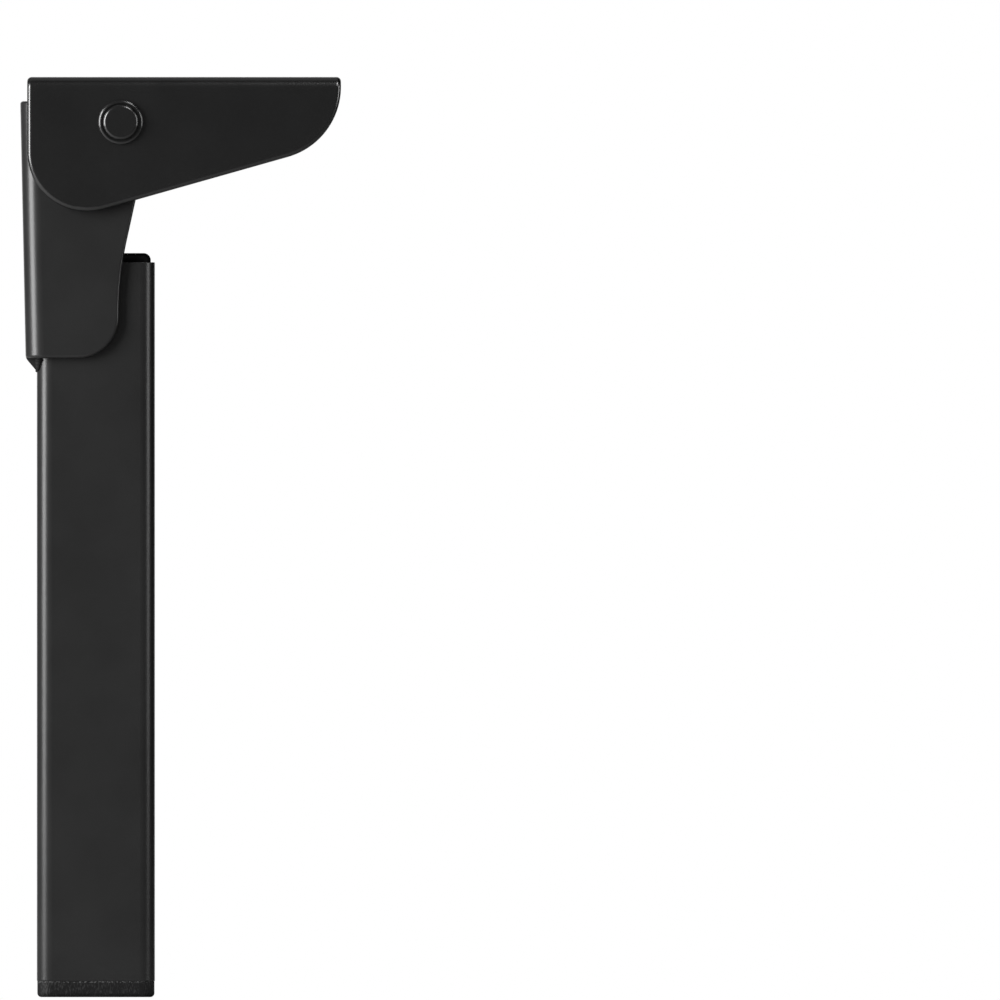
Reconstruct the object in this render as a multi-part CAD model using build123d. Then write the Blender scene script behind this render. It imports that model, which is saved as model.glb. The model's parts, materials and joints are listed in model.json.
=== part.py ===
from build123d import *
import os
from math import acos, atan2, cos, hypot, pi, radians, sin, sqrt, tan

os.makedirs("parts", exist_ok=True)

# A short folding table leg: a square steel tube in a swing bracket, which is
# riveted between the two ears of a mounting bracket and held upright by a
# sprung latch. All sizes are in millimetres.
#
# The origin is the centre of the four screw holes, on the face that meets the
# table. +Z is up, and the foot folds up towards +X.

# Leg tube
tube_side = 40.0
tube_wall = 1.5
tube_corner = 5.0
tube_length = 243.7
tube_top_drop = 47.5
tube_back = 28.4
tube_end_edge = 0.3

# Plastic plug and foot cap, both pushed into the tube
plug_inset = 1.4
plug_height = 3.1
plug_edge = 2.4
foot_inset = 0.15
foot_height = 5.4
foot_edge = 1.4
insert_wall = 2.0
stem_clearance = 2.5
plug_insert_depth = 14.0
foot_insert_depth = 20.0
rib_thickness = 1.2
rib_pitch = 4.5
rib_clearance = 0.1

# Mounting bracket: one folded sheet
plate_length = 106.4
plate_sheet = 3.0
plate_fold = 1.0
ear_slope = 15.8
ear_edge = 1.5
bulge_radius = 20.3
bulge_drop = 10.0
end_radius = 24.7

# Screw holes in the plate, countersunk from below
screw_spacing_x = 80.0
screw_spacing_y = 32.0
screw_hole = 5.0
screw_head = 9.4

# Pivot rivet, its washers and its spacer sleeve
pivot_from_end = 31.7
pivot_drop = 15.3
rivet_radius = 4.0
rivet_head_radius = 6.0
rivet_head_height = 1.9
rivet_head_edge = 1.1
head_washer_radius = 7.6
head_washer_rim = 1.3
head_washer_floor = 0.5
head_washer_edge = 0.9
head_washer_gap = 0.5
friction_washer_radius = 9.5
friction_washer_thickness = 0.5
sleeve_radius = 6.0

# Swing bracket: one folded sheet
swing_sheet = 2.5
swing_fold = 3.7
swing_back = 33.9
swing_back_lean = 1.2
swing_back_top = 7.1
swing_bottom_drop = 80.0
swing_edge = 1.0
lug_radius = 10.65
side_edge_lean = 12.4
side_edge_back = 0.6
side_knee_straight = 1.5
side_corner_radius = 14.0
stop_land_start = 26.7
stop_land_end = 14.0
lip_drop = 4.4
lip_fold = 1.0

# Tongue of the mounting bracket that the latch hooks into
tongue_back = 27.0
tongue_width = 16.0
tongue_relief = 2.0
tongue_drop = 11.3
tongue_bevel = 2.0
window_width = 10.6
window_height = 4.5
window_sill = 3.0

# Latch lever, its pin, spacers and torsion spring
latch_pin_back = 20.0
latch_pin_drop = 17.0
latch_pin_radius = 2.5
lever_sheet = 2.5
lever_fold = 0.5
lever_width = 30.0
lever_boss_radius = 5.5
web_reach = 9.8
nose_width = 10.0
nose_reach = 2.8
nose_tip = 0.5
nose_bevel_run = 4.0
nose_play = 0.2
thumb_face = 1.0
thumb_top_drop = 26.0
thumb_bottom_drop = 38.0
spacer_radius = 4.0
wire = 1.2
coil_pitch = 1.25
coil_turns = 3
spring_foot_drop = 31.0

# Clearances
weld_gap = 0.1
face_play = 0.1
running_play = 0.06
coil_play = 0.6
touch_gap = 0.05

# Widths across Y, worked out from the tube
swing_inner = tube_side + 2 * weld_gap
swing_outer = swing_inner + 2 * swing_sheet
ear_inner = swing_outer + 2 * friction_washer_thickness + 4 * face_play
ear_outer = ear_inner + 2 * plate_sheet

# The plug and the inserts, worked out from the tube
tube_bore = tube_side - 2 * tube_wall
plug_side = tube_side - 2 * plug_inset
stem_side = tube_bore - 2 * stem_clearance

# Heights and places, counted from the pivot
plate_left = -pivot_from_end
plate_right = plate_length - pivot_from_end
plate_top = pivot_drop
plate_under = pivot_drop - plate_sheet
tube_top = -tube_top_drop
tube_bottom = tube_top - tube_length
tube_centre = tube_side / 2 - tube_back

pivot = Vector(pivot_from_end - plate_length / 2, 0, -pivot_drop)
latch_pin = (-latch_pin_back, -latch_pin_drop)

# Outlines are drawn in this plane, seen from the front, about the pivot
side_view = Plane(origin=pivot, x_dir=(1, 0, 0), z_dir=(0, -1, 0))


def across(outline, width):
    """Extrudes a side view outline across Y, centred."""
    return extrude(side_view * outline, amount=width / 2, both=True)


def side_face(edges):
    """The face inside a closed chain of edges in the side view."""
    return make_face(Curve() + edges)


def rod(centre, radius, start, end):
    """A round rod along Y at a side view point, from one Y to another."""
    place = pivot + Vector(centre[0], start, centre[1])
    return extrude(Plane(origin=place, z_dir=(0, 1, 0)) * Circle(radius), amount=end - start)


def ring(centre, outer, inner, start, end):
    """A washer or sleeve along Y."""
    return rod(centre, outer, start, end) - rod(centre, inner, start, end)


def channel_section(width, depth, sheet, fold):
    """The section of a folded channel: its web lies below y = 0 and its legs hang down."""
    outer = Rectangle(width, depth, align=(Align.CENTER, Align.MAX))
    outer = fillet(outer.vertices().group_by(Axis.Y)[-1], fold + sheet)
    inner = Rectangle(width - 2 * sheet, depth, align=(Align.CENTER, Align.MAX))
    inner = fillet(inner.vertices().group_by(Axis.Y)[-1], fold)
    return outer - Pos(0, -sheet) * inner


def round_side_edges(solid, half_width, radius):
    """Rounds the outline of the two flat outer sides at Y = +-half_width."""
    sides = [f for f in solid.faces().filter_by(Axis.Y) if abs(abs(f.center().Y) - half_width) < 0.01]
    edges = [e for f in sides for e in f.outer_wire().edges() if not is_fold_line(e, half_width, solid)]
    return fillet(edges, radius)


def is_fold_line(edge, half_width, solid):
    """Is this edge the line where a flat side runs into its fold?"""
    near = [f for f in solid.faces() if f.geom_type == GeomType.CYLINDER]
    return any(
        edge.geom_type == GeomType.LINE and f.distance_to(edge.center()) < 0.001 and folds_here(f, edge)
        for f in near
    )


def folds_here(face, edge):
    """Does a cylinder's axis lie along this straight edge?"""
    return abs(face.axis_of_rotation.direction.dot(edge % 0.5)) > 0.999


def ear_outline():
    """The ear's outline: straight back, round bulge, straight slope and round end."""
    lean = radians(ear_slope)
    down_slope = Vector(sin(lean), -cos(lean))
    bulge_centre = Vector(plate_left + bulge_radius, -bulge_drop)
    end_x = plate_right - end_radius
    # both arcs touch the sloped line, which sets how high the end arc's centre is
    end_rise = end_radius - bulge_radius + (end_x - bulge_centre.X) * sin(lean)
    end_centre = Vector(end_x, bulge_centre.Y + end_rise / cos(lean))
    bulge_start = Vector(plate_left, bulge_centre.Y)
    bulge_end = bulge_centre + down_slope * bulge_radius
    end_start = end_centre + down_slope * end_radius
    end_end = Vector(plate_right, end_centre.Y)
    return side_face(
        [
            Line((plate_left, plate_top), bulge_start),
            TangentArc(bulge_start, bulge_end, tangent=(0, -1)),
            Line(bulge_end, end_start),
            TangentArc(end_start, end_end, tangent=(cos(lean), sin(lean))),
            Polyline(end_end, (plate_right, plate_top), (plate_left, plate_top)),
        ]
    )


def tongue():
    """The tab bent down from the plate's back edge, with a bevelled foot and a window."""
    front = plate_sheet - tongue_back
    foot = plate_under - tongue_drop
    joined = front + 3 * plate_sheet
    bend = plate_fold + plate_sheet
    back_bend = (-tongue_back, plate_top - bend)
    plate_bend = (-tongue_back + bend, plate_top)
    under_bend = (front + plate_fold, plate_under)
    front_bend = (front, plate_under - plate_fold)
    outline = side_face(
        [
            Polyline(front_bend, (front, foot + tongue_bevel), (front - tongue_bevel, foot)),
            Polyline((front - tongue_bevel, foot), (-tongue_back, foot), back_bend),
            TangentArc(back_bend, plate_bend, tangent=(0, 1)),
            Polyline(plate_bend, (joined, plate_top), (joined, plate_under), under_bend),
            TangentArc(under_bend, front_bend, tangent=(-1, 0)),
        ]
    )
    sill = foot + window_sill
    window = Pos(-tongue_back, sill) * Rectangle(
        3 * plate_sheet, window_height, align=(Align.CENTER, Align.MIN)
    )
    return across(outline, tongue_width) - across(window, window_width)


def mounting_bracket():
    section = Plane.YZ.offset(-plate_length / 2) * channel_section(
        ear_outer, plate_length, plate_sheet, plate_fold
    )
    solid = extrude(section, amount=plate_length) & across(ear_outline(), 2 * ear_outer)
    solid = round_side_edges(solid, ear_outer / 2, ear_edge)
    notch_front = -tongue_back + plate_sheet + plate_fold
    notch = Pos(notch_front, plate_top) * Rectangle(
        plate_length, 3 * plate_sheet, align=(Align.MAX, Align.CENTER)
    )
    solid -= across(notch, tongue_width + 2 * tongue_relief)
    solid += tongue()
    for centre in GridLocations(screw_spacing_x, screw_spacing_y, 2, 2):
        cone = (screw_head - screw_hole) / 2
        below = Pos(0, 0, -plate_sheet)
        solid -= centre * below * Cylinder(screw_hole / 2, 3 * plate_sheet)
        solid -= centre * below * Cone(
            screw_head / 2, screw_hole / 2, cone, align=(Align.CENTER, Align.CENTER, Align.MIN)
        )
    return solid - rod((0, 0), rivet_radius + running_play, -ear_outer, ear_outer)


def pivot_rivet():
    under_head = ear_outer / 2 + head_washer_floor
    top = under_head + rivet_head_height
    solid = rod((0, 0), rivet_radius, -under_head, under_head)
    for start, end in ((-top, -under_head), (under_head, top)):
        head = rod((0, 0), rivet_head_radius, start, end)
        outer_end = head.faces().sort_by(Axis.Y)[0 if end < 0 else -1]
        solid += fillet(outer_end.edges(), rivet_head_edge)
    return solid


def head_washer(side):
    """The cup washer round a rivet head: its floor lies under the head and its rim stands
    clear round it. side is -1 at the front and 1 at the back."""
    rim = side * (ear_outer / 2 + head_washer_rim)
    floor = side * (ear_outer / 2 + head_washer_floor)
    start, end = sorted((side * ear_outer / 2, rim))
    solid = ring((0, 0), head_washer_radius, rivet_radius + running_play, start, end)
    outer_face = solid.faces().filter_by(Axis.Y).sort_by(Axis.Y)[0 if side < 0 else -1]
    solid = fillet(outer_face.outer_wire().edges(), head_washer_edge)
    start, end = sorted((floor, 2 * rim))
    return solid - rod((0, 0), rivet_head_radius + head_washer_gap, start, end)


def friction_washer(side):
    """The thin washer between an ear and a side plate."""
    near = swing_outer / 2 + face_play
    far = near + friction_washer_thickness
    start, end = sorted((side * near, side * far))
    return ring((0, 0), friction_washer_radius, rivet_radius + running_play, start, end)


def pivot_sleeve():
    half = swing_inner / 2 - face_play
    return ring((0, 0), sleeve_radius, rivet_radius + running_play, -half, half)


def swing_outline():
    """The side plate's outline, open to the left, where the back wall bounds it."""
    beyond = -2 * swing_back
    stop_top = plate_under - face_play
    land_end = Vector(-stop_land_end, stop_top)
    # the top edge runs from the stop land to a tangent on the lug round the pivot
    lug_angle = atan2(land_end.Y, land_end.X) - acos(lug_radius / land_end.length)
    lug_start = Vector(cos(lug_angle), sin(lug_angle)) * lug_radius
    lean = radians(side_edge_lean)
    lug_end = Vector(cos(lean), -sin(lean)) * lug_radius
    # the front edge leans, bends at the knee and ends in the bottom corner
    knee_z = -(lug_radius + side_edge_back * cos(lean)) / sin(lean)
    knee = Vector(-side_edge_back, knee_z)
    corner_start = Vector(-side_edge_back, side_corner_radius - swing_bottom_drop)
    knee_run = knee.Y - corner_start.Y - side_knee_straight
    knee_start = knee + Vector(sin(lean), cos(lean)) * knee_run
    knee_end = knee - Vector(0, knee_run)
    corner_end = Vector(-side_edge_back - side_corner_radius, -swing_bottom_drop)
    back_fold = -swing_back + swing_sheet + swing_fold
    return side_face(
        [
            Polyline(
                (beyond, -swing_bottom_drop),
                (beyond, swing_back_top),
                (back_fold, swing_back_top),
                (-stop_land_start, stop_top),
                land_end,
                lug_start,
            ),
            TangentArc(lug_start, lug_end, tangent=lug_start - land_end),
            Line(lug_end, knee_start),
            TangentArc(knee_start, knee_end, tangent=(-sin(lean), -cos(lean))),
            Line(knee_end, corner_start),
            TangentArc(corner_start, corner_end, tangent=(0, -1)),
            Line(corner_end, (beyond, -swing_bottom_drop)),
        ]
    )


def back_wall_x(z):
    """Where the back wall's outer face is at a height z from the pivot."""
    return -swing_back - z * tan(radians(swing_back_lean))


def back_wall_inner_x(z):
    """Where the back wall's inner face is at a height z from the pivot."""
    return back_wall_x(z) + swing_sheet / cos(radians(swing_back_lean))


def lip_outline(joined):
    """The back wall's foot, bent in to the tube's back face, and the wall up to a height."""
    bend = -swing_bottom_drop
    tube_face = -tube_back - weld_gap
    run = tube_face - back_wall_x(bend)
    # the inner side runs parallel to the outer one, a sheet thickness away
    rise = swing_sheet * hypot(run, lip_drop) / run
    inner_bend = bend + rise - lip_drop * swing_sheet / run
    outer_corner = (back_wall_x(bend), bend)
    inner_corner = (back_wall_inner_x(inner_bend), inner_bend)
    outline = side_face(
        [
            Polyline((back_wall_x(joined), joined), outer_corner, (tube_face, bend - lip_drop)),
            Line((tube_face, bend - lip_drop), (tube_face, bend - lip_drop + rise)),
            Polyline(
                (tube_face, bend - lip_drop + rise),
                inner_corner,
                (back_wall_inner_x(joined), joined),
                (back_wall_x(joined), joined),
            ),
        ]
    )
    outline = fillet(outline.vertices().sort_by_distance(outer_corner)[0], lip_fold + swing_sheet)
    return fillet(outline.vertices().sort_by_distance(inner_corner)[0], lip_fold)


def swing_bracket():
    lean = radians(swing_back_lean)
    up_the_wall = Vector(-sin(lean), 0, cos(lean))
    foot = pivot + Vector(-swing_back, 0, 0) - up_the_wall * (2 * swing_bottom_drop)
    section_plane = Plane(origin=foot, x_dir=(0, 1, 0), z_dir=up_the_wall)
    section = section_plane * channel_section(swing_outer, 2 * swing_back, swing_sheet, swing_fold)
    solid = extrude(section, amount=3 * swing_bottom_drop) & across(swing_outline(), 2 * swing_outer)
    solid = round_side_edges(solid, swing_outer / 2, swing_edge)
    # the flat of the back wall ends in the lip
    joined = 3 * swing_sheet - swing_bottom_drop
    flat_width = swing_outer - 2 * (swing_sheet + swing_fold)
    below = Pos(-tube_back, joined) * Rectangle(
        swing_back, swing_bottom_drop, align=(Align.MAX, Align.MAX)
    )
    solid = solid - across(below, flat_width) + across(lip_outline(joined), flat_width)
    solid -= rod((0, 0), rivet_radius + running_play, -swing_outer, swing_outer)
    return solid - rod(latch_pin, latch_pin_radius, -swing_outer, swing_outer)


def tube_section(side, corner):
    return Pos(pivot.X + tube_centre, 0, 0) * RectangleRounded(side, side, corner)


def at_height(z):
    """Moves a flat sketch to a height counted from the pivot."""
    return Pos(0, 0, pivot.Z + z)


def leg_tube():
    outer = extrude(at_height(tube_top) * tube_section(tube_side, tube_corner), amount=-tube_length)
    ends = outer.faces().filter_by(Axis.Z)
    outer = fillet([edge for end in ends for edge in end.edges()], tube_end_edge)
    bore = tube_section(tube_bore, tube_corner - tube_wall)
    return outer - extrude(at_height(tube_top) * bore, amount=-tube_length)


def ribbed_insert(mouth, depth, into):
    """The hollow stem and thin ribs that grip inside the tube, from its mouth inwards."""
    bore_corner = tube_corner - tube_wall
    stem = tube_section(stem_side, bore_corner)
    stem -= tube_section(stem_side - 2 * insert_wall, bore_corner / 2)
    solid = extrude(at_height(mouth) * stem, amount=into * depth)
    rib = tube_section(tube_bore - 2 * rib_clearance, bore_corner - rib_clearance)
    rib -= tube_section(stem_side - insert_wall, bore_corner)
    rib_count = int((depth - rib_thickness) / rib_pitch)
    for number in range(1, rib_count + 1):
        height = mouth + into * number * rib_pitch
        solid += extrude(at_height(height) * rib, amount=into * rib_thickness)
    return solid


def tube_top_plug():
    cap_corner = tube_corner - plug_inset
    cap = extrude(at_height(tube_top) * tube_section(plug_side, cap_corner), amount=plug_height)
    cap = fillet(cap.faces().sort_by(Axis.Z)[-1].edges(), plug_edge)
    return cap + ribbed_insert(tube_top, plug_insert_depth, -1)


def foot_cap():
    cap_side = tube_side - 2 * foot_inset
    cap_corner = tube_corner - foot_inset
    cap = extrude(at_height(tube_bottom) * tube_section(cap_side, cap_corner), amount=-foot_height)
    cap = fillet(cap.faces().sort_by(Axis.Z)[0].edges(), foot_edge)
    return cap + ribbed_insert(tube_bottom, foot_insert_depth, 1)


def nose_sill():
    """The height of the nose's flat underside, just above the window's sill."""
    return plate_under - tongue_drop + window_sill + nose_play


def nose_outline(reach):
    """The nose and its web in the side view, with one bevel over the tip."""
    shoulder = plate_sheet - tongue_back + nose_play
    tip = shoulder - nose_reach
    under = nose_sill()
    top = under + lever_sheet
    bevel_rise = (lever_sheet - nose_tip) / nose_bevel_run
    start = shoulder - reach
    start_height = under + nose_tip + bevel_rise * (start - tip)
    corners = [
        (start, under),
        (start, start_height),
        (tip + nose_bevel_run, top),
        (shoulder + web_reach, top),
        (shoulder + web_reach, under),
    ]
    return Polyline(*corners, close=True)


def latch_lever():
    """One folded sheet: two cheeks on the pin, a web with the nose, and a thumb tab."""
    web = nose_outline(0)
    thumb = Pos(thumb_face, -thumb_bottom_drop) * Rectangle(
        lever_sheet, thumb_bottom_drop - thumb_top_drop, align=(Align.MAX, Align.MIN)
    )
    boss = Pos(*latch_pin) * Circle(lever_boss_radius)
    upper_arm = make_hull(boss.edges() + web.edges())
    lower_arm = make_hull(boss.edges() + thumb.edges())
    solid = across(upper_arm + lower_arm, lever_width)
    folds = [e for e in solid.edges().filter_by(GeomType.LINE) if is_lever_fold(e)]
    solid = fillet(folds, lever_fold + lever_sheet)
    hollow = Pos(thumb_face - lever_sheet, nose_sill()) * Rectangle(
        plate_length, plate_length, align=(Align.MAX, Align.MAX)
    )
    solid -= across(hollow, lever_width - 2 * lever_sheet)
    solid += across(side_face([nose_outline(nose_reach)]), nose_width)
    return solid - rod(latch_pin, latch_pin_radius + running_play, -lever_width, lever_width)


def is_lever_fold(edge):
    """Is this one of the outer corners along the web's top or the thumb tab's face?"""
    middle = edge.center() - pivot
    at_side = abs(abs(middle.Y) - lever_width / 2) < 0.01
    on_web = abs(middle.Z - nose_sill() - lever_sheet) < 0.01
    on_thumb = abs(middle.X - thumb_face) < 0.01
    return at_side and (on_web or on_thumb)


def latch_pin_rivet():
    return rod(latch_pin, latch_pin_radius, -swing_outer / 2, swing_outer / 2)


def latch_spacer(side):
    """The tube that keeps the lever's cheek off the side plate."""
    near = lever_width / 2 + face_play
    far = swing_inner / 2 - face_play
    start, end = sorted((side * near, side * far))
    return ring(latch_pin, spacer_radius, latch_pin_radius + running_play, start, end)


def latch_spring():
    """A torsion spring: a coil on the pin, one leg on the back wall and one on the thumb tab."""
    coil_radius = latch_pin_radius + coil_play + wire / 2
    foot_z = latch_pin_drop - spring_foot_drop
    wall_face = back_wall_inner_x(-spring_foot_drop)
    wall_foot = wall_face + wire / 2 + touch_gap + latch_pin_back
    thumb_foot = thumb_face - lever_sheet - wire / 2 - touch_gap + latch_pin_back
    # each leg leaves the coil at the angle where its line is a tangent
    wall_leg = hypot(wall_foot, foot_z)
    thumb_leg = hypot(thumb_foot, foot_z)
    wall_angle = atan2(foot_z, wall_foot) - acos(coil_radius / wall_leg)
    thumb_angle = atan2(foot_z, thumb_foot) + acos(coil_radius / thumb_leg)
    sweep_angle = (wall_angle - thumb_angle) % (2 * pi)
    height = coil_pitch * (coil_turns + sweep_angle / (2 * pi))
    start_plane = Plane(
        origin=pivot + Vector(latch_pin[0], -height / 2, latch_pin[1]),
        x_dir=(cos(wall_angle), 0, sin(wall_angle)),
        z_dir=(0, 1, 0),
    )
    coil = start_plane * Helix(coil_pitch, height, coil_radius)
    wall_length = sqrt(wall_leg**2 - coil_radius**2)
    thumb_length = sqrt(thumb_leg**2 - coil_radius**2)
    wall_line = Line(coil @ 0 - (coil % 0) * wall_length, coil @ 0)
    thumb_line = Line(coil @ 1, coil @ 1 + (coil % 1) * thumb_length)
    path = Wire([wall_line.edge(), coil.edge(), thumb_line.edge()])
    return sweep(Plane(origin=path @ 0, z_dir=path % 0) * Circle(wire / 2), path=path)


nodes = {
    "mounting_bracket": mounting_bracket(),
    "pivot_rivet": pivot_rivet(),
    "head_washer_front": head_washer(-1),
    "head_washer_back": head_washer(1),
    "friction_washer_front": friction_washer(-1),
    "friction_washer_back": friction_washer(1),
    "pivot_sleeve": pivot_sleeve(),
    "swing_bracket": swing_bracket(),
    "leg_tube": leg_tube(),
    "tube_top_plug": tube_top_plug(),
    "foot_cap": foot_cap(),
    "latch_lever": latch_lever(),
    "latch_pin": latch_pin_rivet(),
    "latch_spacer_front": latch_spacer(-1),
    "latch_spacer_back": latch_spacer(1),
    "latch_spring": latch_spring(),
}

for name, solid in nodes.items():
    export_step(solid, f"parts/{name}.step")
    print(name, round(solid.volume, 1))
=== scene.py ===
# %% [markdown]
# # A folding table leg in black powder coat
#
# This notebook dresses a folding table leg and photographs it in a small studio. The leg
# is a square steel tube in a swing bracket, riveted between the ears of a mounting
# bracket, with a sprung latch inside. The exact shapes come from the imported CAD model,
# which is loaded as a fixed frame. The work here is the finish of each surface, a copy of
# the latch's spring in drawn wire, the weld that holds the tube, the light and the camera.

# %% Load the frame
import json
import math

import bmesh
import bpy
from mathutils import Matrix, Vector, noise


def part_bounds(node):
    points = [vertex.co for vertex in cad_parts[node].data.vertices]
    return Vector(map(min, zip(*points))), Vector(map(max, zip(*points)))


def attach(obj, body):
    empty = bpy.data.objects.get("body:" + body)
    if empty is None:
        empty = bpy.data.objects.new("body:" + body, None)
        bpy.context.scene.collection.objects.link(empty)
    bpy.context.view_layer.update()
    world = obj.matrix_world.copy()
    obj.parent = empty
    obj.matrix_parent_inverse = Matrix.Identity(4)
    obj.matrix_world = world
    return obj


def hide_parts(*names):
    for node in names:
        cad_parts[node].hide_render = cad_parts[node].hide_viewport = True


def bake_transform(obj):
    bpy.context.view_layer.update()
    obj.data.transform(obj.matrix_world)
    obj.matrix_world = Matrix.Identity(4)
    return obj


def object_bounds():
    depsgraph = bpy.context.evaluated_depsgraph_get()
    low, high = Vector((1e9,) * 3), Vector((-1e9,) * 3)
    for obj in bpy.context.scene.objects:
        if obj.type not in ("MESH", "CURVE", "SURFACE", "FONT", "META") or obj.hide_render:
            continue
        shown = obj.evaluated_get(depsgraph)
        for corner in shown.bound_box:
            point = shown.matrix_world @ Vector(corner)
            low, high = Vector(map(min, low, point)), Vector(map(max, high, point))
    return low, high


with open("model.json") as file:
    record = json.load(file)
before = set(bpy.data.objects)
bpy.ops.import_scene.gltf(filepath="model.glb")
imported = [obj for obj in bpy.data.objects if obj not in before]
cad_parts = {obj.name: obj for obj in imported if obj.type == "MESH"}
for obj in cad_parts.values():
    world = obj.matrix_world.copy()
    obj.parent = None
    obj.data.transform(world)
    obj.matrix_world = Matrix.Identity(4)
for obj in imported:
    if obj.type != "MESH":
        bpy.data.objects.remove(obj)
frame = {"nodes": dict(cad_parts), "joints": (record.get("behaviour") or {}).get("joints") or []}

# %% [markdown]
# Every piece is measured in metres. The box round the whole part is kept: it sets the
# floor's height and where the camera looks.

MM = 0.001
part_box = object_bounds()
print("the part is", [round(size / MM, 1) for size in part_box[1] - part_box[0]], "mm")

# %% [markdown]
# ## Writing shader maths as plain expressions
#
# A finish varies over a surface: a little rougher here, a little darker there. Blender
# builds that from nodes, which could be wired one by one, but then the idea is lost in
# the wiring. Instead, a small class wraps the output of a node, so that `1 - mask` or
# `0.4 + 0.1 * grain` adds the Math nodes by itself. Colours and vectors don't go through
# Math nodes, which would turn them grey, so they have their own Mix and Vector Math.

# %% A node output with arithmetic
class Signal:
    """A value that varies over a surface."""

    def __init__(self, finish, socket):
        self.finish = finish
        self.socket = socket

    def output(self, name):
        """Another output of the same node."""
        return Signal(self.finish, self.socket.node.outputs[name])

    def maths(self, operation, first, second):
        settings = {"operation": operation}
        return self.finish.node("ShaderNodeMath", settings, {0: first, 1: second})

    def __add__(self, other):
        return self.maths("ADD", self, other)

    def __sub__(self, other):
        return self.maths("SUBTRACT", self, other)

    def __rsub__(self, other):
        return self.maths("SUBTRACT", other, self)

    def __mul__(self, other):
        return self.maths("MULTIPLY", self, other)

    __radd__ = __add__
    __rmul__ = __mul__


# %% [markdown]
# A finish is a material that is being made. One method adds any node: it takes the
# node's type, its settings, which are set first because they can change the sockets, and
# then the values or links of its inputs. The short methods below it name the few nodes
# that every finish needs.

# %% A finish that adds its own nodes
class Finish:
    """A material, or the world, built node by node."""

    def __init__(self, owner):
        self.owner = owner
        owner.use_nodes = True
        self.tree = owner.node_tree
        self.tree.nodes.clear()

    def node(self, kind, settings, inputs, output=0):
        made = self.tree.nodes.new(kind)
        for name, value in settings.items():
            setattr(made, name, value)
        for name, value in inputs.items():
            if isinstance(value, Signal):
                self.tree.links.new(value.socket, made.inputs[name])
            else:
                made.inputs[name].default_value = value
        return Signal(self, made.outputs[output]) if len(made.outputs) else made

    def place(self):
        """The point on the piece, in metres, in the part's own frame."""
        return self.node("ShaderNodeTexCoord", {}, {}, "Object")

    def stretched(self, place, x, y, z):
        """The place with its axes scaled, so that a pattern is longer one way."""
        settings = {"operation": "MULTIPLY"}
        return self.node("ShaderNodeVectorMath", settings, {0: place, 1: (x, y, z)})

    def clouds(self, place, size, detail=2.0):
        """Soft random blotches from 0 to 1, about `size` metres across."""
        inputs = {"Vector": place, "Scale": 1 / size, "Detail": detail, "Roughness": 0.5}
        return self.node("ShaderNodeTexNoise", {}, inputs)

    def step(self, value, low, high, start=0.0, end=1.0):
        """Rises smoothly from start to end while the value goes from low to high."""
        settings = {"interpolation_type": "SMOOTHSTEP"}
        inputs = {
            "Value": value,
            "From Min": low,
            "From Max": high,
            "To Min": start,
            "To Max": end,
        }
        return self.node("ShaderNodeMapRange", settings, inputs)

    def blend(self, factor, first, second):
        """Goes from one colour to another."""
        inputs = {0: factor, 6: first, 7: second}
        return self.node("ShaderNodeMix", {"data_type": "RGBA"}, inputs, 2)

    def bump(self, height, depth):
        """The surface normal, tilted by a height pattern that is `depth` metres deep."""
        inputs = {"Height": height, "Distance": depth, "Strength": 1.0}
        return self.node("ShaderNodeBump", {}, inputs)

    def surface(self, **inputs):
        """The shader that the light sees. Words in the names are joined by an underscore."""
        named = {name.replace("_", " "): value for name, value in inputs.items()}
        shader = self.node("ShaderNodeBsdfPrincipled", {}, named)
        self.node("ShaderNodeOutputMaterial", {}, {"Surface": shader})
        print(self.owner.name, "has", len(self.tree.nodes), "nodes")
        return self.owner


def grey(value):
    return (value, value, value, 1.0)


# %% [markdown]
# ## Black powder coat
#
# The brackets, the tube and the rivet are steel with a baked powder coat. Powder melts
# into a film that is never quite flat: it keeps a faint orange peel, waves a millimetre
# or so across, with a finer grain on them. A smooth black shader would look like wet
# paint, and a strong bump like leather, so the waves are shallow: 0.0025 mm deep on the
# mounting bracket, 0.015 mm on the swing bracket and the tube, and 0.02 mm on the weld.
# Broad clouds change the colour and the gloss a little, as the film's thickness does.

# %% The powder coat
def powder_coat(name, black, roughness, shine, peel_depth):
    finish = Finish(bpy.data.materials.new(name))
    place = finish.place()
    peel = finish.clouds(place, 1.3 * MM)
    grain = finish.clouds(place, 0.3 * MM, 1.0)
    film = finish.clouds(place, 24 * MM, 3.0)
    return finish.surface(
        Base_Color=finish.blend(film, grey(0.75 * black), grey(1.25 * black)),
        Roughness=roughness + 0.06 * film + 0.05 * grain,
        Normal=finish.bump(0.75 * peel + 0.25 * grain, peel_depth),
        Specular_IOR_Level=shine,
    )


# The mounting bracket's black, also used on the rivet and its head washers, is half that of the
# swing bracket and the tube. Part of this is painted shade: the same paint made darker, as it
# would be in the shadow of a tabletop above it, which is not built. The rest offsets this coat's
# stronger gloss.
bracket_coat = powder_coat(
    "bracket_powder_coat", black=0.010, roughness=0.20, shine=0.88, peel_depth=0.0025 * MM
)
swing_coat = powder_coat(
    "swing_bracket_powder_coat", black=0.021, roughness=0.26, shine=0.46, peel_depth=0.015 * MM
)
tube_coat = powder_coat(
    "tube_powder_coat", black=0.021, roughness=0.26, shine=0.43, peel_depth=0.015 * MM
)
weld_coat = powder_coat(
    "weld_powder_coat", black=0.012, roughness=0.62, shine=0.2, peel_depth=0.02 * MM
)
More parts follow.
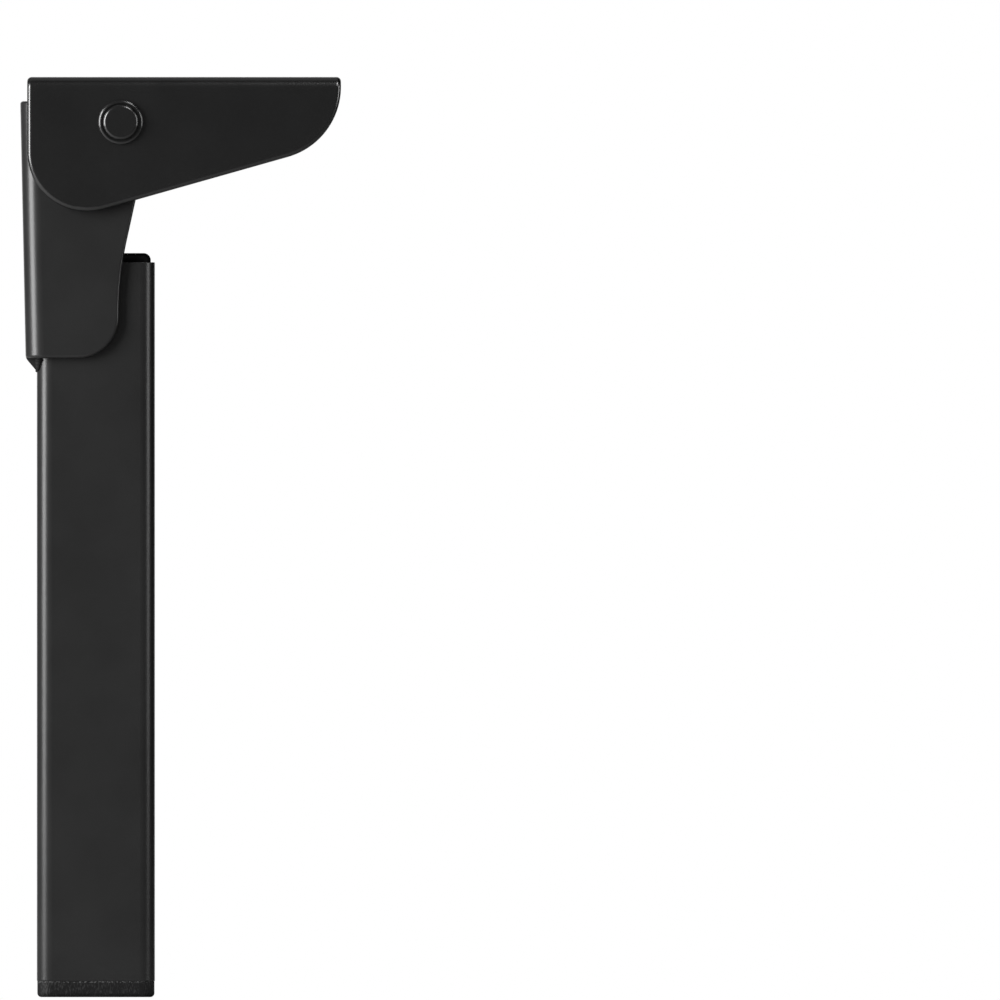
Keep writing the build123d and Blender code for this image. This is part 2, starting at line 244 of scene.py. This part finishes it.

# %% [markdown]
# ## Moulded plastic
#
# The foot cap is black moulded plastic. The short pale streaks in its colour are painted
# highlights: glints of light on its moulded grain, drawn into the colour. The pale specks
# along its upper rim are painted highlights too. Noise that is stretched along the leg gives
# the streaks, a second noise breaks them up, and the height of a point tells how near it is
# to the rim.

# %% The foot cap's plastic with painted glints
def glint_painted_plastic(name, rim_height):
    finish = Finish(bpy.data.materials.new(name))
    place = finish.place()
    drift = finish.clouds(place, 3 * MM, 1.0)
    run = finish.clouds(finish.stretched(place, 1, 1, 0.3), 0.42 * MM, 2.0)
    grit = finish.clouds(place, 0.5 * MM, 3.0)
    glint_streaks = finish.step(run, 0.50, 0.66) * finish.step(drift, 0.35, 0.6, 0.35, 1.0)
    height = finish.node("ShaderNodeSeparateXYZ", {}, {"Vector": place}, "Z")
    # The painted glint specks fade in between 0.75 and 0.35 mm below the rim.
    rim = finish.step(height, rim_height - 0.75 * MM, rim_height - 0.35 * MM)
    rim_glints = rim * finish.step(grit, 0.50, 0.60)
    # Painted highlights: the pale streaks and the pale specks near the rim stand in for glints of
    # light on the moulded grain.
    glint_streaked = finish.blend(glint_streaks, grey(0.005), grey(0.030))
    return finish.surface(
        Base_Color=finish.blend(rim_glints, glint_streaked, grey(0.10)),
        Roughness=0.6 - 0.12 * glint_streaks + 0.1 * grit,
        Normal=finish.bump(0.6 * run + 0.4 * grit, 0.12 * MM),
        Specular_IOR_Level=0.25,
    )


tube_low, tube_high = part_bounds("leg_tube")
foot_plastic = glint_painted_plastic("foot_plastic_painted_glints", rim_height=tube_low.z)

# %% [markdown]
# The plug in the tube's top looks smoother, and is almost black.

# %% The plug's smooth plastic
def smooth_plastic(name):
    finish = Finish(bpy.data.materials.new(name))
    place = finish.place()
    sheen = finish.clouds(place, 6 * MM, 3.0)
    grain = finish.clouds(place, 0.25 * MM, 1.0)
    return finish.surface(
        Base_Color=finish.blend(sheen, grey(0.001), grey(0.002)),
        Roughness=0.5 + 0.12 * sheen,
        Normal=finish.bump(grain, 0.008 * MM),
        Specular_IOR_Level=0.05,
    )


plug_plastic = smooth_plastic("plug_smooth_plastic")

# %% [markdown]
# ## Nylon washers
#
# The two friction washers are hidden between the brackets, so their finish is a choice:
# natural nylon, as such washers often are. Nylon is off-white and lets some light in, so
# the shader scatters a little light under the surface. The fine rings that the turning leg
# wears in them are drawn by distance from the pivot's axis, as a sine of it.

# %% The nylon
RING_PITCH = 0.5 * MM
joint_at = {joint["name"]: joint["pos_m"] for joint in frame["joints"]}
pivot_x, _, pivot_z = joint_at["leg_fold"]


def nylon(name):
    finish = Finish(bpy.data.materials.new(name))
    place = finish.place()
    pivot = (pivot_x, 0, pivot_z)
    centred = finish.node("ShaderNodeVectorMath", {"operation": "SUBTRACT"}, {0: place, 1: pivot})
    in_plane = finish.stretched(centred, 1, 0, 1)
    radius = finish.node("ShaderNodeVectorMath", {"operation": "LENGTH"}, {0: in_plane}, 1)
    phase = radius * (2 * math.pi / RING_PITCH)
    rings = finish.node("ShaderNodeMath", {"operation": "SINE"}, {0: phase})
    tint = finish.clouds(place, 5 * MM)
    return finish.surface(
        Base_Color=finish.blend(tint, (0.60, 0.57, 0.49, 1), (0.68, 0.66, 0.60, 1)),
        Roughness=0.42 + 0.08 * tint,
        Normal=finish.bump(0.5 * rings + tint, 0.01 * MM),
        Subsurface_Weight=0.15,
        Subsurface_Scale=0.5 * MM,
    )


washer_nylon = nylon("washer_nylon")

# %% [markdown]
# ## Bare metal
#
# The latch lever, its pin, the spacers and the sleeve are zinc-plated steel. Bright zinc
# is a metal with faint rolling lines under it and a cool passivated tint that drifts
# from blue to straw. The lever's lines come from noise that is stretched upwards. On the
# turned pieces the noise is squeezed along their axis, which makes rings, as a lathe does.
# The spring is wire with no plating: darker, and its marks run no particular way.

# %% Zinc plate and drawn wire
def plated_steel(name, dark, light, roughness, axis_scales):
    finish = Finish(bpy.data.materials.new(name))
    place = finish.place()
    lines = finish.clouds(finish.stretched(place, *axis_scales), 0.35 * MM, 3.0)
    tint = finish.clouds(place, 9 * MM, 3.0)
    spots = finish.clouds(place, 1.1 * MM)
    return finish.surface(
        Base_Color=finish.blend(tint, dark, light),
        Metallic=1.0,
        Roughness=roughness + 0.14 * lines + 0.08 * spots,
        Normal=finish.bump(lines + 0.5 * spots, 0.01 * MM),
    )


zinc_lever = plated_steel(
    "zinc_plate_lever",
    dark=(0.50, 0.53, 0.58, 1),
    light=(0.66, 0.65, 0.60, 1),
    roughness=0.24,
    axis_scales=(1, 1, 0.05),
)
zinc_turned = plated_steel(
    "zinc_plate_turned",
    dark=(0.50, 0.53, 0.58, 1),
    light=(0.64, 0.64, 0.61, 1),
    roughness=0.2,
    axis_scales=(1, 12, 1),
)
spring_wire = plated_steel(
    "drawn_spring_wire",
    dark=(0.25, 0.25, 0.26, 1),
    light=(0.40, 0.39, 0.38, 1),
    roughness=0.22,
    axis_scales=(1, 1, 1),
)

# %% [markdown]
# Each CAD node keeps its shape and gets its finish through its material slots. The
# latch's spring is left for the next step.

# %% Dress the CAD nodes
finishes = {
    "mounting_bracket": bracket_coat,
    "pivot_rivet": bracket_coat,
    "head_washer_front": bracket_coat,
    "head_washer_back": bracket_coat,
    "swing_bracket": swing_coat,
    "leg_tube": tube_coat,
    "tube_top_plug": plug_plastic,
    "foot_cap": foot_plastic,
    "friction_washer_front": washer_nylon,
    "friction_washer_back": washer_nylon,
    "latch_lever": zinc_lever,
    "pivot_sleeve": zinc_turned,
    "latch_pin": zinc_turned,
    "latch_spacer_front": zinc_turned,
    "latch_spacer_back": zinc_turned,
}
for node, finish in finishes.items():
    for slot in frame["nodes"][node].material_slots:
        slot.material = finish
print(len(finishes), "of", len(frame["nodes"]), "nodes dressed")

# %% [markdown]
# ## The latch's spring
#
# A torsion spring sits on the latch's pin. One leg rests on the swing bracket's back
# wall, the other follows the lever's thumb tab, and the coil between them winds up a
# little. The CAD spring is rigid, so at the latch's limit the lever would cut through its
# leg. Here a copy of its mesh takes its place in the drawn wire's finish, and the CAD
# spring is hidden. The copy is as rigid as the CAD spring: it does not bend with the
# latch.

# %% Put a copy of the spring in drawn wire
spring = bpy.data.objects.new("sprung_wire", frame["nodes"]["latch_spring"].data.copy())
bpy.context.scene.collection.objects.link(spring)
spring.data.materials.clear()
spring.data.materials.append(spring_wire)
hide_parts("latch_spring")
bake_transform(spring)

# %% [markdown]
# ## The weld at the lip
#
# The swing bracket's back wall ends in a lip that is bent in to the tube's back face, and
# a weld holds the tube there. It starts in the corner under one side plate, runs down the
# lip's end, along its edge and up the other end, and closes the slit between the two. A
# weld bead is a row of overlapping puddles, so its surface ripples. It is swept as a round
# section along that line. The section's radius rises and falls once for each puddle, drifts
# a little every few millimetres, and tapers at both ends. A smooth rod would look like a
# wire.

# %% Sweep the weld bead
RIPPLE_SHARE = 0.15
DRIFT_SHARE = 0.15
DRIFT_LENGTH = 4 * MM


def along_corners(corners, spacing):
    """Points at an even spacing on the straight runs between corners, with each radius."""
    points = []
    for (start, start_radius), (end, end_radius) in zip(corners, corners[1:]):
        steps = max(1, round((end - start).length / spacing))
        for step in range(steps):
            share = step / steps
            radius = start_radius + (end_radius - start_radius) * share
            points.append((start.lerp(end, share), radius))
    return points + [corners[-1]]


def weld_bead(name, corners, puddle, sides=10, steps_per_puddle=8):
    """A rippled bead along a line of corners. A puddle is a length in metres."""
    spacing = puddle / steps_per_puddle
    points = along_corners(corners, spacing)
    mesh = bmesh.new()
    rings = []
    for number, (point, radius) in enumerate(points):
        before = points[max(number - steps_per_puddle, 0)][0]
        after = points[min(number + steps_per_puddle, len(points) - 1)][0]
        turn = (after - before).to_track_quat("Z", "Y")
        run = number * spacing
        ripple = abs(math.sin(math.pi * run / puddle))
        from_end = min(number, len(points) - 1 - number) * spacing
        taper = min(1.0, from_end / radius) ** 0.5
        drift = DRIFT_SHARE * radius * noise.noise(Vector((0, run / DRIFT_LENGTH, 0)))
        size = (radius * (1 - RIPPLE_SHARE + RIPPLE_SHARE * ripple) + drift) * max(taper, 0.05)
        ring = []
        for side in range(sides):
            angle = 2 * math.pi * side / sides
            offset = Vector((math.cos(angle) * size, math.sin(angle) * size, 0))
            ring.append(mesh.verts.new(point + turn @ offset))
        rings.append(ring)
    for near, far in zip(rings, rings[1:]):
        for side in range(sides):
            following = (side + 1) % sides
            mesh.faces.new((near[side], near[following], far[following], far[side]))
    mesh.faces.new(rings[0][::-1])
    mesh.faces.new(rings[-1])
    bmesh.ops.recalc_face_normals(mesh, faces=mesh.faces)
    data = bpy.data.meshes.new(name)
    mesh.to_mesh(data)
    mesh.free()
    for face in data.polygons:
        face.use_smooth = True
    piece = bpy.data.objects.new(name, data)
    bpy.context.scene.collection.objects.link(piece)
    return piece


swing_low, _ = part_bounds("swing_bracket")
lip_points = [
    vertex.co
    for vertex in frame["nodes"]["swing_bracket"].data.vertices
    if vertex.co.z < swing_low.z + 2 * MM
]
lip_end = max(point.y for point in lip_points)


def weld_corner(inward, outward, above, radius):
    """A corner in mm from the tube's back face, the lip's end and the bracket's low edge."""
    place = (tube_low.x + inward * MM, lip_end + outward * MM, swing_low.z + above * MM)
    return Vector(place), radius * MM


half_weld = [
    weld_corner(inward=0.8, outward=1.9, above=6.4, radius=1.5),
    weld_corner(inward=0.8, outward=1.9, above=4.0, radius=1.55),
    weld_corner(inward=0.5, outward=0.9, above=0.9, radius=0.95),
    weld_corner(inward=0, outward=-0.8, above=0.1, radius=0.5),
]
other_half = [(point * Vector((1, -1, 1)), radius) for point, radius in reversed(half_weld)]
lip_weld = weld_bead("lip_weld", half_weld + other_half, puddle=1.2 * MM)
lip_weld.data.materials.append(weld_coat)
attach(lip_weld, "leg")
weld_faces = len(lip_weld.data.polygons)
print("weld bead with", weld_faces, "faces round a lip", round(2 * lip_end / MM, 1), "mm wide")

# %% [markdown]
# ## The studio
#
# The leg stands on a plain pale floor that fades into the white of the world, so no
# horizon shows. To the camera the world is white all round. Black gloss shows what it
# reflects, so the world that the gloss sees is drawn with more care, as in a studio: white
# only on the wall behind the leg, a dim grey on the camera's side, and darker at the sides
# and under the ceiling. Diffuse rays get one low level from it, and the lamps add the rest,
# so that a colour renders about as it is written.

# %% The world
def studio_world(visible, front, sides, ceiling, ambient):
    finish = Finish(bpy.data.worlds.new("studio_world"))
    bpy.context.scene.world = finish.owner
    direction = finish.node("ShaderNodeTexCoord", {}, {}, "Generated")
    split = finish.node("ShaderNodeSeparateXYZ", {}, {"Vector": direction})
    # The direction's Y goes from -1 on the camera's side to 1 behind the leg.
    behind = split.output("Y")
    height = split.output("Z")
    near_wall = finish.step(behind, -0.8, -0.4, front, sides)
    far_wall = finish.step(behind, 0.75, 0.97, 0.0, visible)
    wall = near_wall + far_wall
    roof = finish.step(height, 0.3, 0.8, 1.0, ceiling)
    rays = finish.node("ShaderNodeLightPath", {}, {})
    looked_at = rays.output("Is Camera Ray") + rays.output("Is Transmission Ray")
    mirrored = rays.output("Is Glossy Ray") * (1 - looked_at)
    rest = (1 - looked_at) * (1 - mirrored)
    strength = visible * looked_at + mirrored * wall * roof + ambient * rest
    light = finish.node("ShaderNodeBackground", {}, {"Color": grey(1.0), "Strength": strength})
    finish.node("ShaderNodeOutputWorld", {}, {"Surface": light})
    print("the world has", len(finish.tree.nodes), "nodes")


studio_world(visible=1.0, front=0.08, sides=0.02, ceiling=0.1, ambient=0.12)

# %% [markdown]
# The floor is a round sheet of pale paper at the foot's height. A third of the white
# behind it comes through, which keeps it pale where the lamps hardly reach, and towards
# its rim all of it does, so that the floor ends in white without an edge. From below it is
# clear too, so that the foot can be looked at.

# %% The floor
def studio_floor(height, radius, see_through):
    mesh = bmesh.new()
    bmesh.ops.create_circle(mesh, cap_ends=True, segments=96, radius=radius)
    data = bpy.data.meshes.new("studio_floor")
    mesh.to_mesh(data)
    mesh.free()
    floor = bpy.data.objects.new("studio_floor", data)
    floor.location.z = height
    bpy.context.scene.collection.objects.link(floor)
    finish = Finish(bpy.data.materials.new("floor_paper"))
    place = finish.place()
    distance = finish.node("ShaderNodeVectorMath", {"operation": "LENGTH"}, {0: place}, 1)
    under = finish.node("ShaderNodeNewGeometry", {}, {}, "Backfacing")
    rim = finish.step(distance, 0.25 * radius, 0.95 * radius, see_through, 1.0)
    clear = finish.node("ShaderNodeMath", {"operation": "MAXIMUM"}, {0: under, 1: rim})
    mottle = finish.clouds(place, 0.2)
    paper = finish.node(
        "ShaderNodeBsdfPrincipled",
        {},
        {
            "Base Color": finish.blend(mottle, grey(0.70), grey(0.74)),
            "Roughness": 0.85,
            "Specular IOR Level": 0.1,
        },
    )
    nothing = finish.node("ShaderNodeBsdfTransparent", {}, {})
    mixed = finish.node("ShaderNodeMixShader", {}, {0: clear, 1: paper, 2: nothing})
    finish.node("ShaderNodeOutputMaterial", {}, {"Surface": mixed})
    data.materials.append(finish.owner)
    return floor


floor = studio_floor(height=part_box[0].z, radius=1.5, see_through=0.35)
print("floor at", round(floor.location.z / MM, 1), "mm")

# %% [markdown]
# Four soft boxes light the leg. The key is to the left of the camera and a little
# above, and gives the bright bands on the left-hand corners. A weaker one at the right
# gives the thinner bands there. A small one high on the right puts the short arcs at the
# top of the rivet's head, and a large weak one overhead, a little behind the leg, keeps
# the shadows open. The right and the upper box show in the gloss only. As diffuse light
# they would fill the shadow that the key throws on the tube beside the side plate. Each
# lamp is placed by the angle at which the leg sees it, which is easier to think about than
# coordinates. All of them aim at the swing bracket's lower half.

# %% The lamps
LAMP_AIM = Vector((-0.03, 0, -0.08))


def soft_box(name, side_angle, height_angle, distance, width, height, power, gloss_only=False):
    """An area lamp round the aim, at angles from the camera's direction and the horizon."""
    data = bpy.data.lights.new(name, "AREA")
    data.shape = "RECTANGLE"
    data.size = width
    data.size_y = height
    data.energy = power
    lamp = bpy.data.objects.new(name, data)
    side, up = math.radians(side_angle), math.radians(height_angle)
    away = Vector((math.sin(side) * math.cos(up), -math.cos(side) * math.cos(up), math.sin(up)))
    lamp.location = LAMP_AIM + away * distance
    lamp.rotation_mode = "QUATERNION"
    lamp.rotation_quaternion = away.to_track_quat("Z", "Y")
    lamp.visible_diffuse = not gloss_only
    bpy.context.scene.collection.objects.link(lamp)
    radiance = power / (math.pi * width * height)
    print(name, "radiance", round(radiance, 1))


soft_box(
    "key_soft_box",
    side_angle=-61,
    height_angle=14,
    distance=1.0,
    width=0.50,
    height=0.76,
    power=18.0,
)
soft_box(
    "right_soft_box",
    side_angle=66,
    height_angle=12,
    distance=1.0,
    width=0.34,
    height=0.66,
    power=3.5,
    gloss_only=True,
)
soft_box(
    "upper_soft_box",
    side_angle=36,
    height_angle=50,
    distance=1.0,
    width=0.26,
    height=0.26,
    power=3.2,
    gloss_only=True,
)
soft_box(
    "back_soft_box",
    side_angle=10,
    height_angle=112,
    distance=1.4,
    width=1.2,
    height=1.2,
    power=1.2,
)

# %% [markdown]
# ## The camera
#
# The photograph is a straight side view with no perspective to be seen: the tube's two
# sides stay parallel to within two pixels, and neither end shows a second face. An
# orthographic camera gives just that. The tube's width in the frame sets the scale, and
# the tube's middle and the plate's top set where the frame lies.

# %% The camera
FRAME_PIXELS = 1000
TUBE_WIDTH_PIXELS = 118.0
TUBE_MIDDLE_PIXEL = 95.9
PLATE_TOP_PIXEL = 77.0
CAMERA_DISTANCE = 1.5


def side_camera():
    pixel = (tube_high.x - tube_low.x) / TUBE_WIDTH_PIXELS
    tube_middle = (tube_low.x + tube_high.x) / 2
    data = bpy.data.cameras.new("side_camera")
    data.type = "ORTHO"
    data.ortho_scale = FRAME_PIXELS * pixel
    data.clip_start = 0.01
    data.clip_end = 20
    camera = bpy.data.objects.new("side_camera", data)
    camera.location = (
        tube_middle + (FRAME_PIXELS / 2 - TUBE_MIDDLE_PIXEL) * pixel,
        -CAMERA_DISTANCE,
        part_box[1].z - (FRAME_PIXELS / 2 - PLATE_TOP_PIXEL) * pixel,
    )
    camera.rotation_euler = (math.radians(90), 0, 0)
    bpy.context.scene.collection.objects.link(camera)
    bpy.context.scene.camera = camera
    print("one pixel is", round(pixel / MM, 3), "mm")


side_camera()
bpy.context.scene.view_settings.view_transform = "Standard"
